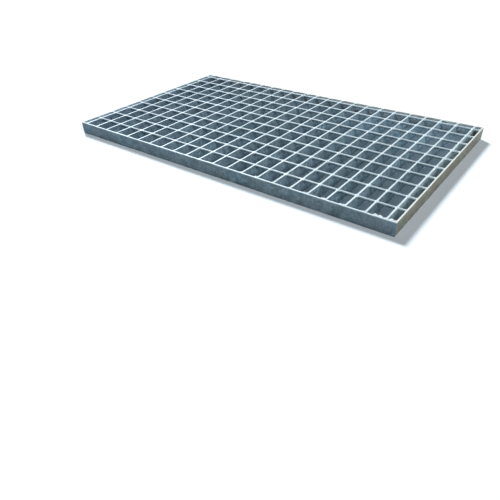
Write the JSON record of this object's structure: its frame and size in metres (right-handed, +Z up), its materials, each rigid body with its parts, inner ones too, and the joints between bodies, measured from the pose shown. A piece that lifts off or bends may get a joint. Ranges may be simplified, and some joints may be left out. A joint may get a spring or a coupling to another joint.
{
  "type": "steel grating panel",
  "caption": "Rectangular welded bar grating panel of galvanised steel, with flat bearing bars, round cross rods and flat edge bands, for walkways and drain covers.",
  "frame": {"origin": "centre of the underside, on the plane that the panel lies on", "axes": "+X along the long side, across the bearing bars; +Y along the bearing bars, from the front band to the back band; +Z up, out of the walking surface"},
  "size_m": [0.88, 0.52, 0.03],
  "materials": {
    "mesh_steel": "hot-dip galvanised, mottled blue-grey zinc, bright on the top edges",
    "band_steel": "hot-dip galvanised, dull slate-grey zinc with brownish dirt, bright on the top edge"
  },
  "bodies": {
    "root": {"grating_mat": "mesh_steel", "front_band": "band_steel", "back_band": "band_steel", "left_band": "band_steel", "right_band": "band_steel"}
  },
  "joints": []
}
